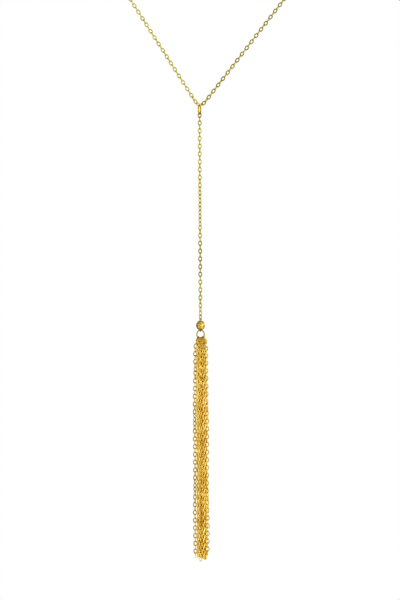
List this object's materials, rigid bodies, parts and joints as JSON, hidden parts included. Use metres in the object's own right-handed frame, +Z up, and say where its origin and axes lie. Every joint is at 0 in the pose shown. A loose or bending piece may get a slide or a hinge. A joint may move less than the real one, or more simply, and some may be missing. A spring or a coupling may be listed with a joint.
{
  "type": "chain necklace",
  "caption": "Y-shaped gold chain necklace: a fine cable chain, a drop chain hung from its middle on a ring, a cut bead and a long chain tassel.",
  "frame": {"origin": "middle of the neck that the chain goes round, level with the nape", "axes": "+X to the right as seen from the front, +Y from the chest to the nape, +Z up"},
  "size_m": [0.1254, 0.1103, 0.2871],
  "materials": {
    "gold": "polished gold plate",
    "bead": "polished gold plate with cut faces",
    "tassel": "polished gold plate"
  },
  "bodies": {
    "root": {"neck_chain_left": "gold", "neck_chain_right": "gold", "clasp": "gold", "junction_ring": "gold", "drop_chain": "gold", "bead": "bead", "bead_pin": "gold", "tassel_ring": "gold", "tassel": "tassel"}
  },
  "joints": []
}
